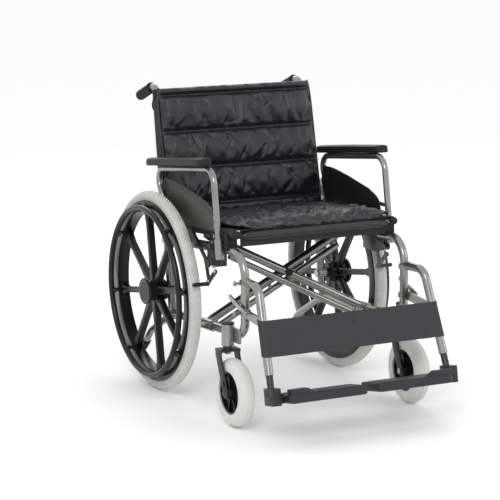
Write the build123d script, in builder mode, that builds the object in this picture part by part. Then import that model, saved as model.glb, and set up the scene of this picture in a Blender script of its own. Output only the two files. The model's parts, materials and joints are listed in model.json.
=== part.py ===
from build123d import *
import math
import os

os.makedirs("parts", exist_ok=True)

# A folding, self-propelled wheelchair of the wide, heavy-duty kind. Millimetres, +Z up, the chair faces -Y,
# the occupant's right hand is at -X. Places along the chair are given as distances ahead of the rear axle.

# Driving dimensions
wheel_r = 305.0  # rear wheels, 24 inch over the tyre
wheel_x = 314.5  # centre line to the middle of a rear wheel
caster_r = 100.0
caster_x = 290.0
frame_x = 262.0  # centre line to the middle of a side frame
toe_reach = 795.0  # rear axle to the front edge of the footplates
tube_r = 12.5  # side frame tube
fit = 0.05  # radial clearance of a shaft in its bore
slip = 0.1  # radial clearance of a sleeve on a tube
gap = 0.3  # between neighbours that don't touch

axle_y = (toe_reach - wheel_r) / 2  # puts the origin under the middle of the chair

# Side frame, as (distance ahead of the axle, height)
lower_rear = (10.0, 232.0)
lower_front = (508.0, 263.4)
upper_front = (508.0, 505.0)
upper_rear = (-23.0, 454.6)
lower_bend = 48.0
upper_bend = 70.0
upright_foot = (13.5, 212.0)
upright_top = (-25.0, 463.0)
cane_r = 11.0
cane_depth = 45.0  # how far a back cane goes down into its upright

# Back canes and push handles
cane_x = 248.0
cane_low = (-45.5, 565.0)
cane_top = (-131.0, 917.0)
handle_end = (-248.0, 873.0)
handle_bend = 26.0
grip_r = 16.0
grip_len = 94.0
grip_wall_end = 5.0

# Tipping levers
lever_r = 11.0
lever_start = (4.0, 226.0)
lever_knee = (-150.0, 142.0)
lever_end = (-214.0, 80.0)
lever_bend = 60.0
cap_wall = 4.0
cap_len = 36.0

# Rear wheels
tyre_r = 19.0
rim_seat = 272.0
rim_flange = 276.0
rim_inner = 246.0
rim_half = 18.5
flange_t = 2.2
spoke_count = 8
spoke_turn = 10.0
spoke_w = 18.0
spoke_t = 17.0
hub_r = 32.0
hub_half = 30.0
axle_r = 6.35
bearing_r = 14.0
bearing_w = 10.0
handrim_x = 352.4
handrim_r = 255.4
handrim_tube = 9.0
peg_r = 5.5
cap_r = 40.0
cap_t = 5.0
boss_r = 24.0
boss_t = 4.0
sleeve_r = 15.0
sleeve_half = 13.0
sleeve_out = 21.5

# Casters
stem_ahead = 453.0
caster_ahead = 499.0
barrel_r = 18.5
barrel_low = 230.0
barrel_top = 292.0
stem_r = 6.0
fork_gap = 27.0
blade_t = 5.0
crown_t = 7.0
crown_top = 220.0
crown_len = 40.0
blade_boss = 15.0
caster_tyre_w = 48.0
caster_hub_r = 62.0
caster_hub_w = 36.0
caster_disc_w = 16.0
caster_boss_r = 18.0
caster_axle_r = 5.0

# Cross brace and seat
brace_angle = 27.0
brace_ahead = 259.0  # where the two arms cross
brace_r = 12.5
brace_step = 13.0  # each arm's plane, ahead of or behind the crossing
brace_low_r = 9.5
brace_low_drop = 29.0
brace_sleeve_r = 16.5
brace_sleeve_len = 80.0
pivot_r = 5.0
pivot_cap_r = 11.0
seat_x = 257.0
seat_tube_r = 11.0
seat_front = (451.0, 547.0)
seat_rear_ahead = 12.0
saddle_half_w = 17.0
saddle_fit = 3.1  # round the seat tube and the sling wrapped on it
saddles = ((368.0, 112.0), (85.0, 70.0))  # middle, length
cushion_t = 24.0
cushion_half = 256.0
cushion_front = 448.0
cushion_rear = 14.0
sling_t = 2.5
valance_low = 505.0
back_half = 264.0
back_low = 540.0
back_high = 908.0
back_t = 44.0

# Armrests
arm_x = 284.0
arm_r = 9.5
arm_foot = (389.6, 480.0)
arm_front = (346.6, 724.0)
arm_rear = (-62.0, 671.0)
arm_knee = (-5.0, 592.0)
arm_heel_z = 466.0
arm_bends = (45.0, 38.0, 55.0)
socket_r = 13.0
socket_len = 58.0
socket_floor = 12.0
pad_len = 398.0
pad_w = 46.0
pad_t = 23.0
pad_front = 326.0
pad_x = 294.5
panel_x = 272.7
panel_t = 3.0

# Brakes
brake_front = 361.0
brake_rear = 290.0
brake_low = 440.0
brake_wide = 15.0
lever_pivot = (345.0, 449.0)
lever_tip = (237.0, 531.0)
lever_x = 298.0
grip_x = 306.0
grip_tube = 8.0
shoe_pivot = (300.0, 449.0)
shoe_tip = (322.0, 392.0)
shoe_link = (366.0, 428.0)
shoe_rod = (313.0, 382.0)
brake_pin_r = 3.5
brake_plate_x = 280.0
brake_plate_t = 4.0
brake_arm_t = 5.0
shoe_rod_r = 6.0
shoe_reach = 334.0

# Swing-away leg rests
collar_r = 17.0
collar_h = 14.0
collar_heights = (420.0, 334.0)
hanger_knee = (606.0, 426.0)
hanger_foot = (699.0, 195.0)
hanger_knee_x = 270.0
hanger_foot_x = 283.0
hanger_bend = 42.0
leg_r = 10.0
leg_up = 150.0  # length of a leg tube inside its hanger
foot_tilt = 11.0
foot_hinge_x = 244.0
foot_hinge = (728.0, 129.0)
foot_pin_r = 4.0
knuckle_r = 8.0
knuckle_half = 15.0
block_inner = 273.0
block_outer = 299.0
block_half = 27.0
block_top = 36.0
block_low = 12.0
plate_t = 24.0
plate_inner_x = 16.0
plate_toe = 68.0
plate_heel = 49.0
plate_end = 18.0
plate_corner = 18.0
bracket = ((520.0, 334.0), (628.0, 326.0))
bracket_w = 26.0
bracket_t = 6.0
latch_x = 280.0
latch_pivot = (545.0, 340.0)
latch_end = (452.0, 370.0)
latch_pin_r = 3.5
strap_low = 244.0
strap_high = 342.0
strap_t = 2.5


def at(x, ahead, z):
    """A point given across, ahead of the rear axle and up."""
    return (x, axle_y - ahead, z)


def bar(points, radius, bends=()):
    """A round bar along straight runs joined by tangent arcs."""
    with BuildPart() as piece:
        with BuildLine() as path:
            if bends:
                FilletPolyline(*points, radius=list(bends))
            else:
                Line(*points)
        with BuildSketch(Plane(origin=path.line @ 0, z_dir=path.line % 0)):
            Circle(radius)
        sweep(path=path.line)
    return piece.part


def across(x, ahead, z):
    """A plane through a wheel or pin that lies across the chair: its X is to the left, its Y is up."""
    return Plane(origin=at(x, ahead, z), x_dir=(1, 0, 0), z_dir=(0, -1, 0))


def side_on(x):
    """A plane seen from the left of the chair, with its X towards the back and its Y up."""
    return Plane(origin=(x, axle_y, 0), x_dir=(0, 1, 0), z_dir=(1, 0, 0))


def pin(x_from, x_to, ahead, z, radius):
    """A round pin across the chair."""
    return bar([at(x_from, ahead, z), at(x_to, ahead, z)], radius)


def link(x, thickness, points, width):
    """A flat link of round-ended runs between (ahead, height) points, from x towards the left."""
    with BuildPart() as piece:
        with BuildSketch(side_on(x)):
            for a, b in zip(points, points[1:]):
                turn = math.degrees(math.atan2(b[1] - a[1], a[0] - b[0]))
                with Locations((-(a[0] + b[0]) / 2, (a[1] + b[1]) / 2)):
                    SlotCenterToCenter(math.dist(a, b), width, rotation=turn)
        extrude(amount=thickness)
    return piece.part


def write(piece, name):
    """Label one finished piece and write its STEP file."""
    piece.label = name
    export_step(piece, f"parts/{name}.step")


def write_pair(piece, name):
    """Write a right-hand piece, and its mirror image for the left of the chair."""
    write(piece, "right_" + name)
    write(mirror(piece, about=Plane.YZ), "left_" + name)


def along(start, end, ahead):
    """Height at a distance ahead, on the line through two (ahead, height) points."""
    return start[1] + (end[1] - start[1]) * (ahead - start[0]) / (end[0] - start[0])


def top_rail_z(ahead):
    return along(upper_rear, upper_front, ahead)


def low_rail_z(ahead):
    return along(lower_rear, lower_front, ahead)


rake = math.degrees(math.atan2(upper_front[1] - upper_rear[1], upper_front[0] - upper_rear[0]))
low_rake = math.degrees(math.atan2(lower_front[1] - lower_rear[1], lower_front[0] - lower_rear[0]))
seat_lift = seat_front[1] - top_rail_z(seat_front[0])  # seat tube above the top rail
arm_slope = (arm_foot[0] - arm_front[0]) / (arm_front[1] - arm_foot[1])


def seat_z(ahead):
    return top_rail_z(ahead) + seat_lift


arm_heel = (arm_knee[0] + arm_slope * (arm_knee[1] - arm_heel_z), arm_heel_z)
upright_slope = (upright_foot[0] - upright_top[0]) / (upright_top[1] - upright_foot[1])
barrel_mid = (barrel_low + barrel_top) / 2


def on_leg(foot, z):
    """A point on an armrest leg's line, at a height."""
    return at(-arm_x, foot[0] - arm_slope * (z - foot[1]), z)


def on_upright(z):
    """A point on the rear upright's line, at a height."""
    return at(-frame_x, upright_foot[0] - upright_slope * (z - upright_foot[1]), z)


# ---- Side frame: bent loop, rear upright, caster barrel, axle sleeve, armrest sockets, tipping lever ----
with BuildPart() as side_frame:
    loop = [at(-frame_x, *p) for p in (lower_rear, lower_front, upper_front, upper_rear)]
    add(bar(loop, tube_r, (lower_bend, upper_bend)))
    add(bar([on_upright(upright_foot[1]), on_upright(upright_top[1])], tube_r))
    add(bar([at(-frame_x, *p) for p in (lever_start, lever_knee, lever_end)], lever_r, (lever_bend,)))
    with Locations(at(-caster_x, stem_ahead, barrel_mid)):
        Cylinder(barrel_r, barrel_top - barrel_low)
    with Locations(at(-276.0, 480.0, 262.0)):
        Box(8, 46, 42)
    add(pin(-frame_x - sleeve_out, -frame_x + sleeve_half, 0, wheel_r, sleeve_r))
    for foot in (arm_foot, arm_heel):
        low = foot[1] - socket_floor
        add(bar([on_leg(foot, low), on_leg(foot, low + socket_len)], socket_r))
    for foot in (arm_foot, arm_heel):
        top = foot[1] - socket_floor + socket_len + 5
        add(bar([on_leg(foot, foot[1] - gap), on_leg(foot, top)], arm_r + slip), mode=Mode.SUBTRACT)
    add(pin(-frame_x - 40, -frame_x + 40, 0, wheel_r, axle_r + fit), mode=Mode.SUBTRACT)
    with Locations(at(-caster_x, stem_ahead, barrel_mid)):
        Cylinder(stem_r + fit, barrel_top - barrel_low, mode=Mode.SUBTRACT)
    cane_seat = upright_top[1] - cane_depth
    add(bar([on_upright(cane_seat), on_upright(upright_top[1] + 6)], cane_r + slip), mode=Mode.SUBTRACT)
write_pair(side_frame.part, "side_frame")

# ---- Back cane with its push handle, and the ribbed grip on it ----
cane_path = [on_upright(cane_seat + gap), on_upright(upright_top[1] + 30), at(-cane_x, *cane_top), at(-cane_x, *handle_end)]
with BuildPart() as push_cane:
    add(bar(cane_path, cane_r, (120.0, handle_bend)))
write_pair(push_cane.part, "push_cane")

grip_z = Vector(*at(-cane_x, *handle_end)) - Vector(*at(-cane_x, *cane_top))
grip_plane = Plane(origin=at(-cane_x, *handle_end), x_dir=(1, 0, 0), z_dir=tuple(grip_z * -1))
with BuildPart(grip_plane) as push_grip:
    Cylinder(grip_r, grip_len, align=(Align.CENTER, Align.CENTER, Align.MIN))
    with Locations((0, 0, -grip_wall_end)):
        Cylinder(grip_r, grip_wall_end, align=(Align.CENTER, Align.CENTER, Align.MIN))
    fillet(push_grip.edges().filter_by(GeomType.CIRCLE).group_by(Axis(grip_plane.origin, grip_plane.z_dir))[0], 3)
    Cylinder(cane_r + fit, grip_len, align=(Align.CENTER, Align.CENTER, Align.MIN), mode=Mode.SUBTRACT)
write_pair(push_grip.part, "push_grip")

# ---- Rubber cap on the end of the tipping lever ----
cap_axis = Vector(*at(-frame_x, *lever_knee)) - Vector(*at(-frame_x, *lever_end))
cap_plane = Plane(origin=at(-frame_x, *lever_end), x_dir=(1, 0, 0), z_dir=tuple(cap_axis))
with BuildPart(cap_plane) as tip_cap:
    with Locations((0, 0, -cap_wall - gap)):
        Cylinder(lever_r + cap_wall, cap_len, align=(Align.CENTER, Align.CENTER, Align.MIN))
    with Locations((0, 0, -gap)):
        Cylinder(lever_r + fit, cap_len, align=(Align.CENTER, Align.CENTER, Align.MIN), mode=Mode.SUBTRACT)
write_pair(tip_cap.part, "tip_cap")

# ---- Rear wheel, built lying down and stood up on its axle: its Z points away from the chair ----
wheel_place = Plane(origin=at(-wheel_x, 0, wheel_r), x_dir=(0, -1, 0), z_dir=(-1, 0, 0)).location
bearing_seat = hub_half - 5.0 - bearing_w

with BuildPart() as rear_wheel:
    Cylinder(rim_seat, 2 * rim_half)
    for side in (-1, 1):
        with Locations((0, 0, side * (rim_half - flange_t / 2))):
            Cylinder(rim_flange, flange_t)
    Cylinder(rim_inner, 2 * rim_half, mode=Mode.SUBTRACT)
    Cylinder(hub_r, 2 * hub_half)
    with PolarLocations((hub_r + rim_inner) / 2, spoke_count, start_angle=spoke_turn):
        Box(rim_inner - hub_r + 12, spoke_w, spoke_t)
    Cylinder(bearing_r + fit, 2 * hub_half, mode=Mode.SUBTRACT)
write_pair(wheel_place * rear_wheel.part, "rear_wheel")

with BuildPart() as rear_tyre:
    Torus(wheel_r - tyre_r, tyre_r)
    Cylinder(rim_seat + fit, 4 * tyre_r, mode=Mode.SUBTRACT)
write_pair(wheel_place * rear_tyre.part, "rear_tyre")

with BuildPart() as wheel_bearings:
    Cylinder(bearing_r, 2 * (bearing_seat + bearing_w))
    with BuildSketch(Plane.XY.offset(-bearing_seat)):
        Circle(bearing_r)
        Circle(bearing_r - 4, mode=Mode.SUBTRACT)
    extrude(amount=2 * bearing_seat, mode=Mode.SUBTRACT)
    Cylinder(axle_r + fit, 4 * hub_half, mode=Mode.SUBTRACT)
write_pair(wheel_place * wheel_bearings.part, "wheel_bearings")

with BuildPart() as handrim:
    with Locations((0, 0, handrim_x - wheel_x)):
        Torus(handrim_r, handrim_tube)
    with BuildSketch(Plane.XY.offset(rim_half + fit)):
        with PolarLocations(handrim_r, spoke_count, start_angle=spoke_turn):
            Circle(peg_r)
    extrude(amount=handrim_x - wheel_x - rim_half)
write_pair(wheel_place * handrim.part, "handrim")

with BuildPart() as hub_cap:
    with BuildSketch(Plane.XY.offset(hub_half + fit)):
        Circle(cap_r)
    extrude(amount=cap_t)
    with BuildSketch(Plane.XY.offset(hub_half + cap_t)):
        Circle(boss_r)
    extrude(amount=boss_t)
    fillet(hub_cap.edges().filter_by(GeomType.CIRCLE).sort_by(Axis.Z)[-2:], 1.5)
write_pair(wheel_place * hub_cap.part, "hub_cap")

with BuildPart() as rear_axle:
    add(pin(-frame_x + sleeve_half + gap, -wheel_x - hub_half + 1, 0, wheel_r, axle_r))
    add(pin(-frame_x + sleeve_half + 6, -frame_x + sleeve_half + gap, 0, wheel_r, 11))
    add(pin(-wheel_x - hub_half + 5 - gap, -wheel_x - hub_half + 1, 0, wheel_r, 9))
write_pair(rear_axle.part, "rear_axle")

# ---- Caster: forged fork with its stem, cap, wheel, tyre and bolt ----
caster_place = Plane(origin=at(-caster_x, caster_ahead, caster_r), x_dir=(0, -1, 0), z_dir=(-1, 0, 0)).location

with BuildPart() as caster_fork:
    with Locations(at(-caster_x, stem_ahead, crown_top - crown_t / 2)):
        Box(2 * (fork_gap + blade_t), crown_len, crown_t)
    with Locations(at(-caster_x, stem_ahead, crown_top)):
        Cylinder(stem_r + 8, barrel_low - crown_top - fit, align=(Align.CENTER, Align.CENTER, Align.MIN))
        Cylinder(stem_r, barrel_top - crown_top - 2, align=(Align.CENTER, Align.CENTER, Align.MIN))
    for inner in (-caster_x - fork_gap - blade_t, -caster_x + fork_gap):
        with BuildSketch(side_on(inner)):
            with BuildLine():
                Polyline(
                    (-caster_ahead - blade_boss, caster_r),
                    (-stem_ahead - 17, crown_top - 18),
                    (-stem_ahead - 17, crown_top),
                    (-stem_ahead + 17, crown_top),
                    (-stem_ahead + 17, crown_top - 18),
                    (-caster_ahead + blade_boss, caster_r),
                    close=True,
                )
            make_face()
            with Locations((-caster_ahead, caster_r)):
                Circle(blade_boss)
                Circle(caster_axle_r + fit, mode=Mode.SUBTRACT)
        extrude(amount=blade_t)
write_pair(caster_fork.part, "caster_fork")

with BuildPart() as caster_cap:
    with Locations(at(-caster_x, stem_ahead, barrel_top + fit)):
        Cylinder(barrel_r, 5, align=(Align.CENTER, Align.CENTER, Align.MIN))
    fillet(caster_cap.edges().filter_by(GeomType.CIRCLE).sort_by(Axis.Z)[-1], 3)
write_pair(caster_cap.part, "caster_cap")

with BuildPart() as caster_wheel:
    Cylinder(caster_hub_r, caster_hub_w)
    for side in (-1, 1):
        with BuildSketch(Plane.XY.offset(side * (caster_disc_w + caster_hub_w) / 4)):
            Circle(caster_hub_r - 6)
        extrude(amount=(caster_hub_w - caster_disc_w) / 4 + 1, both=True, mode=Mode.SUBTRACT)
    Cylinder(caster_boss_r, 2 * fork_gap - 1)
    Cylinder(caster_axle_r + fit, 3 * fork_gap, mode=Mode.SUBTRACT)
write_pair(caster_place * caster_wheel.part, "caster_wheel")

with BuildPart() as caster_tyre:
    Cylinder(caster_r, caster_tyre_w)
    fillet(caster_tyre.edges().filter_by(GeomType.CIRCLE), 14)
    Cylinder(caster_hub_r + fit, 2 * caster_tyre_w, mode=Mode.SUBTRACT)
write_pair(caster_place * caster_tyre.part, "caster_tyre")

with BuildPart() as caster_axle:
    far = fork_gap + blade_t + fit
    add(pin(-caster_x - far, -caster_x + far, caster_ahead, caster_r, caster_axle_r))
    add(pin(-caster_x - far - 4, -caster_x - far, caster_ahead, caster_r, 8))
    add(pin(-caster_x + far, -caster_x + far + 4, caster_ahead, caster_r, 8))
write_pair(caster_axle.part, "caster_axle")

# ---- Armrest: bent tube that lifts out of its sockets, pad and side panel ----
pad_slope = math.atan2(arm_front[1] - arm_rear[1], arm_front[0] - arm_rear[0])
pad_mid = pad_front - pad_len / 2 * math.cos(pad_slope)
pad_plane = Plane(
    origin=at(-pad_x, pad_mid, along(arm_rear, arm_front, pad_mid) + (arm_r + fit) / math.cos(pad_slope)),
    x_dir=(1, 0, 0),
    z_dir=(0, math.sin(pad_slope), math.cos(pad_slope)),
)
panel_base = seat_lift + 3
panel_outline = (
    (350, top_rail_z(350) + panel_base),
    (340, 590),
    (279, 617),
    (140, 640),
    (-12, 651),
    (-20, 600),
    (8, 540),
    (8, 517),
)
panel_tabs = (((366, 556), (340, 556)), ((363, 580), (336, 580)), ((-6, 575), (8, 575)))

with BuildPart() as armrest_frame:
    add(bar([at(-arm_x, *p) for p in (arm_foot, arm_front, arm_rear, arm_knee, arm_heel)], arm_r, arm_bends))
    for tab in panel_tabs:
        add(link(-arm_x + arm_r - 3, arm_x - arm_r + 3 - panel_x - panel_t / 2 - fit, tab, 12))
write_pair(armrest_frame.part, "armrest_frame")

with BuildPart() as armrest_pad:
    with BuildSketch(pad_plane):
        RectangleRounded(pad_w, pad_len, 14)
    extrude(amount=pad_t)
    fillet(armrest_pad.faces().sort_by(Axis.Z)[-1].edges(), 7)
write_pair(armrest_pad.part, "armrest_pad")

with BuildPart() as side_panel:
    with BuildSketch(side_on(-panel_x - panel_t / 2)):
        with BuildLine():
            FilletPolyline(*[(-ahead, z) for ahead, z in panel_outline], radius=7, close=True)
        make_face()
    extrude(amount=panel_t)
write_pair(side_panel.part, "side_panel")

# ---- Saddles on the top rail that carry the seat tube, joined by a strip that lies along the rail ----
seat_tilt = math.radians(rake)
rail_up = Vector(0, math.sin(seat_tilt), math.cos(seat_tilt))
seat_rise = seat_lift * math.cos(seat_tilt)


def on_rail(x, ahead, rise):
    """A plane on the top rail's line, raised square to it, with Z up off the rail."""
    base = Vector(*at(x, ahead, top_rail_z(ahead))) + rail_up * rise
    return Plane(origin=tuple(base), x_dir=(1, 0, 0), z_dir=tuple(rail_up))


def rail_bar(x, front, rear, rise, radius):
    """A round bar parallel to the top rail."""
    return bar([on_rail(x, front, rise).origin, on_rail(x, rear, rise).origin], radius)


with BuildPart() as seat_saddles:
    for middle, length in saddles:
        with BuildSketch(on_rail(-frame_x + 1, middle, 0)):
            Rectangle(2 * saddle_half_w, length)
        extrude(amount=seat_rise)
    with BuildSketch(on_rail(-frame_x, (saddles[0][0] + saddles[1][0]) / 2, tube_r - 4)):
        Rectangle(14, saddles[0][0] - saddles[1][0])
    extrude(amount=7)
    for middle, length in saddles:
        nest = rail_bar(-seat_x, middle + length, middle - length, seat_rise, seat_tube_r + saddle_fit)
        add(nest, mode=Mode.SUBTRACT)
    add(rail_bar(-frame_x, 460, 0, 0, tube_r + fit), mode=Mode.SUBTRACT)
    add(bar([on_leg(arm_foot, 440), on_leg(arm_foot, 560)], socket_r + gap), mode=Mode.SUBTRACT)
    hole = on_rail(-frame_x, saddles[0][0] + 34, 23).origin
    add(bar([(hole.X - 30, hole.Y, hole.Z), (hole.X + 30, hole.Y, hole.Z)], 4), mode=Mode.SUBTRACT)
write_pair(seat_saddles.part, "seat_saddles")

# ---- Brake: clamp under the top rail, hand lever, and the shoe that presses the tyre ----
brake_inner = -brake_plate_x - brake_plate_t
clamp_mid = (brake_front + brake_rear) / 2
with BuildPart() as brake_bracket:
    with BuildSketch(Plane(origin=at(-frame_x, clamp_mid, brake_low))):
        Rectangle(2 * brake_wide, brake_front - brake_rear)
    extrude(amount=top_rail_z(clamp_mid) - brake_low - 2)
    add(link(brake_inner, brake_plate_t + 4, ((brake_front - 11, 448), (brake_rear + 7, 449)), 20))
    add(pin(-lever_x - brake_arm_t, brake_inner + 1, *lever_pivot, brake_pin_r))
    add(pin(brake_inner - brake_arm_t, brake_inner + 1, *shoe_pivot, brake_pin_r))
    add(rail_bar(-frame_x, 460, 200, 0, tube_r + fit), mode=Mode.SUBTRACT)
write_pair(brake_bracket.part, "brake_bracket")

grip_dir = (Vector(0, *lever_tip) - Vector(0, *lever_pivot)).normalized()
grip_low = (lever_tip[0] - 62 * grip_dir.Y, lever_tip[1] - 62 * grip_dir.Z)
with BuildPart() as brake_lever:
    add(link(-lever_x - brake_arm_t, brake_arm_t, (lever_pivot, lever_tip), 14))
    add(link(-lever_x - brake_arm_t, brake_arm_t, (lever_pivot, (lever_pivot[0] + 0.1, lever_pivot[1])), 24))
    add(bar([at(-grip_x, *grip_low), at(-grip_x, *lever_tip)], grip_tube))
    add(pin(-lever_x - brake_arm_t - 9, -lever_x + 9, *lever_pivot, brake_pin_r + fit), mode=Mode.SUBTRACT)
write_pair(brake_lever.part, "brake_lever")

shoe_x = brake_inner - fit - brake_arm_t
with BuildPart() as brake_shoe:
    add(link(shoe_x, brake_arm_t, (shoe_pivot, shoe_tip, shoe_link), 13))
    add(link(shoe_x, brake_arm_t, (shoe_tip, shoe_rod), 14))
    add(pin(-shoe_reach, shoe_x + brake_arm_t, *shoe_rod, shoe_rod_r))
    add(pin(-shoe_reach, shoe_x + 9, *shoe_pivot, brake_pin_r + fit), mode=Mode.SUBTRACT)
write_pair(brake_shoe.part, "brake_shoe")

# ---- Leg rest hanger: swings on the front upright; its latch; the leg tube that slides in it ----
hanger_path = [
    at(-frame_x, upper_front[0], hanger_knee[1] - 2),
    at(-hanger_knee_x, *hanger_knee),
    at(-hanger_foot_x, *hanger_foot),
]
leg_dir = (Vector(*hanger_path[2]) - Vector(*hanger_path[1])).normalized()


def on_leg_line(z):
    """A point on the leg tube's line, at a height."""
    return Vector(*hanger_path[2]) + leg_dir * ((z - hanger_foot[1]) / leg_dir.Z)


with BuildPart() as hanger:
    add(bar(hanger_path, tube_r, (hanger_bend,)))
    for height in collar_heights:
        with Locations(at(-frame_x, upper_front[0], height)):
            Cylinder(collar_r, collar_h)
        add(pin(-frame_x - 35, -frame_x - 15, upper_front[0], height, 4))
        add(pin(-frame_x - 36, -frame_x - 30, upper_front[0], height, 7))
    add(link(-hanger_knee_x, bracket_t, bracket, bracket_w))
    add(pin(-latch_x - 4, -hanger_knee_x + 3, *latch_pivot, latch_pin_r))
    with Locations(at(-frame_x, upper_front[0], 380)):
        Cylinder(tube_r + slip, 200, mode=Mode.SUBTRACT)
    add(bar([on_leg_line(hanger_foot[1] - 10), on_leg_line(hanger_foot[1] + leg_up)], leg_r + fit), mode=Mode.SUBTRACT)
write_pair(hanger.part, "hanger")

with BuildPart() as hanger_latch:
    add(link(-latch_x - 4, 4, (latch_pivot, latch_end), 14))
    add(pin(-latch_x - 8, -latch_x + 8, *latch_pivot, latch_pin_r + fit), mode=Mode.SUBTRACT)
write_pair(hanger_latch.part, "hanger_latch")

foot_turn = math.radians(foot_tilt)
foot_fore = Vector(0, -math.cos(foot_turn), math.sin(foot_turn))
foot_up = Vector(0, math.sin(foot_turn), math.cos(foot_turn))
foot_plane = Plane(origin=at(-foot_hinge_x, *foot_hinge), x_dir=(1, 0, 0), z_dir=tuple(foot_up))


def foot_box(x, rear, low, high):
    """A box in the footplate's own frame: x to the left, y backwards, z up off the plate."""
    with BuildPart() as piece:
        with BuildSketch(foot_plane.offset(low)):
            with Locations(((x[0] + x[1]) / 2, (rear[0] + rear[1]) / 2)):
                Rectangle(x[1] - x[0], rear[1] - rear[0])
        extrude(amount=high - low)
    return piece.part


def foot_rod(radius, fore, aft):
    """A round rod on the footplate's hinge line."""
    origin = Vector(*at(-foot_hinge_x, *foot_hinge))
    return bar([tuple(origin + foot_fore * fore), tuple(origin - foot_fore * aft)], radius)


block_x = (foot_hinge_x - block_outer, foot_hinge_x - block_inner)
with BuildPart() as leg_tube:
    add(bar([on_leg_line(foot_hinge[1] + block_top - 20), on_leg_line(hanger_foot[1] + leg_up - 5)], leg_r))
    add(foot_box(block_x, (-block_half, block_half), -block_low, block_top))
    add(foot_box((block_x[1] - 1, 0), (-knuckle_half, knuckle_half), -knuckle_r, knuckle_r))
    add(foot_rod(knuckle_r, knuckle_half, knuckle_half))
    add(foot_rod(foot_pin_r, block_half, block_half))
write_pair(leg_tube.part, "leg_tube")

plate_far = foot_hinge_x - plate_inner_x
with BuildPart() as footplate:
    with BuildSketch(foot_plane.offset(-knuckle_r)):
        with Locations(((plate_far - plate_end) / 2, (plate_heel - plate_toe) / 2)):
            Rectangle(plate_far + plate_end, plate_heel + plate_toe)
    extrude(amount=plate_t)
    fillet(footplate.edges().filter_by(Axis((0, 0, 0), tuple(foot_up))), plate_corner)
    fillet(footplate.faces().sort_by(Axis(foot_plane.origin, tuple(foot_up)))[0].edges().sort_by(Axis.X)[-1], 8)
    notch = knuckle_half + gap
    add(foot_box((-plate_end - 9, knuckle_r + 1), (-notch, notch), -plate_t, plate_t), mode=Mode.SUBTRACT)
    add(foot_rod(foot_pin_r + fit, block_half + gap, block_half + gap), mode=Mode.SUBTRACT)
write_pair(footplate.part, "footplate")

# ---- Calf strap: one half wrapped on each hanger, meeting at the middle ----
strap_sleeve = [on_leg_line(strap_low), on_leg_line(strap_high)]
strap_skin = tube_r + gap + strap_t
strap_front = Vector(0, leg_dir.Z, -leg_dir.Y).normalized()
strap_foot = strap_sleeve[0] + strap_front * (tube_r + gap)
strap_len = (strap_sleeve[1] - strap_sleeve[0]).length
with BuildPart() as calf_strap:
    add(bar(strap_sleeve, strap_skin))
    with BuildSketch(Plane(origin=tuple(strap_foot), x_dir=(1, 0, 0), z_dir=tuple(strap_front))):
        with Locations((-strap_foot.X / 2 - gap, strap_len / 2)):
            Rectangle(-strap_foot.X - 2 * gap, strap_len)
    extrude(amount=strap_t)
    add(bar([on_leg_line(strap_low - 20), on_leg_line(strap_high + 20)], tube_r + gap), mode=Mode.SUBTRACT)
    way = link(-hanger_knee_x - gap, bracket_t + 2 * gap, bracket, bracket_w + 2 * gap)
    add(way, mode=Mode.SUBTRACT)
write_pair(calf_strap.part, "calf_strap")

# ---- Cross brace: two arms that fold about the lower rails, each carrying a seat tube ----
fold_tilt = math.radians(low_rake)
fold_axis = Vector(0, -math.cos(fold_tilt), math.sin(fold_tilt))
fold_up = Vector(0, math.sin(fold_tilt), math.cos(fold_tilt))
half_angle = math.radians(brace_angle)
half_arm = frame_x / math.cos(half_angle)
fold_turn = math.radians(45)
brace_base = Vector(*at(0, brace_ahead, low_rail_z(brace_ahead)))
crossing = brace_base + fold_up * (frame_x * math.tan(half_angle))


def arm_point(side, reach, drop, fore):
    """A point on an arm: out along it from the crossing, below it, and forward of the crossing."""
    lean = Vector(-side * math.cos(half_angle), 0, 0) + fold_up * math.sin(half_angle)
    below = Vector(-side * math.sin(half_angle), 0, 0) - fold_up * math.cos(half_angle)
    return crossing + lean * reach + below * drop + fold_axis * fore


def brace_arm(side, fore):
    """One arm, from the lower rail on one side up to the seat tube on the other."""
    rail = Vector(side * frame_x, 0, 0) + brace_base
    with BuildPart() as piece:
        add(bar([arm_point(side, -half_arm, 0, fore), arm_point(side, half_arm + 4, 0, fore)], brace_r))
        low, high = 24 - half_arm, half_arm - 96
        drop = brace_low_drop
        add(bar([arm_point(side, low, drop, fore), arm_point(side, high, drop, fore)], brace_low_r))
        for reach in (low + 8, -60, high - 8):
            add(bar([arm_point(side, reach, 0, fore), arm_point(side, reach, drop, fore)], 6))
        sleeve = brace_sleeve_len / 2
        add(bar([rail - fold_axis * sleeve, rail + fold_axis * sleeve], brace_sleeve_r))
        front = on_rail(-side * seat_x, seat_front[0], seat_rise).origin
        rear = on_rail(-side * seat_x, seat_rear_ahead, seat_rise).origin
        add(bar([front, rear], seat_tube_r))
        add(bar([rail - fold_axis * 100, rail + fold_axis * 100], tube_r + slip), mode=Mode.SUBTRACT)
        # The lower corner of the top end is cut off, so the upright arm clears the armrest beside it.
        out = Vector(-side * math.cos(fold_turn), 0, 0) - fold_up * math.sin(fold_turn)
        down = Vector(side * math.sin(fold_turn), 0, 0) - fold_up * math.cos(fold_turn)
        corner = arm_point(side, half_arm, 0, fore) + out * 8 + down * 6
        with BuildSketch(Plane(origin=tuple(corner), x_dir=tuple(fold_axis), z_dir=tuple(out))):
            Rectangle(60, 30)
        extrude(amount=10, mode=Mode.SUBTRACT)
        add(bar([crossing - fold_axis * 60, crossing + fold_axis * 60], pivot_r + fit), mode=Mode.SUBTRACT)
    return piece.part


write(brace_arm(1, brace_step), "brace_arm_front")
write(brace_arm(-1, -brace_step), "brace_arm_rear")

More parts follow.
